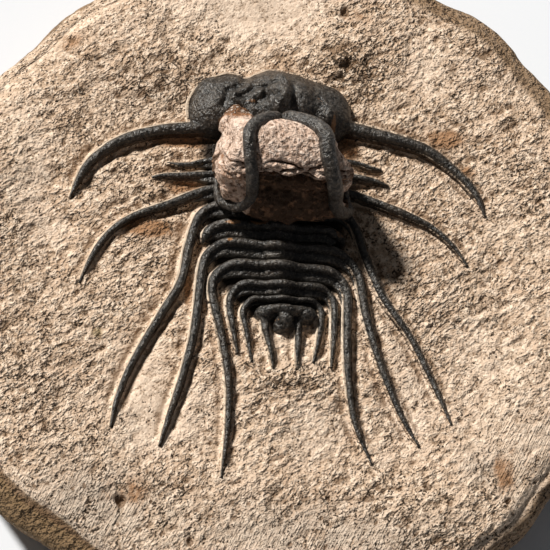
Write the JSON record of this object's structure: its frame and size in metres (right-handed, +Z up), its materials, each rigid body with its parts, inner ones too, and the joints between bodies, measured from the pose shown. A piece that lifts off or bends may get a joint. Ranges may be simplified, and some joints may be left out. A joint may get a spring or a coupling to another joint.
{
  "type": "trilobite fossil",
  "caption": "Spiny trilobite with curled horns and long swept-back spines, lying in relief on a rounded slab of pale limestone that rests on its flat underside.",
  "frame": {"origin": "centre of the slab's bounding box, on its flat underside", "axes": "+Z up out of the fossil side, +Y towards the head, +X to the right of a viewer who looks down with the head away"},
  "size_m": [0.125, 0.124, 0.0329],
  "materials": {
    "limestone": "rough, matt, with prepared tool marks",
    "shell": "dark mineral, half gloss",
    "core_stone": "rough, matt, pinkish"
  },
  "bodies": {
    "root": {"matrix_slab": "limestone", "cephalon": "shell", "thorax_segment_1": "shell", "thorax_segment_2": "shell", "thorax_segment_3": "shell", "thorax_segment_4": "shell", "thorax_segment_5": "shell", "thorax_segment_6": "shell", "thorax_segment_7": "shell", "thorax_segment_8": "shell", "thorax_segment_9": "shell", "pygidium": "shell", "horn_core_stone": "core_stone"}
  },
  "joints": []
}
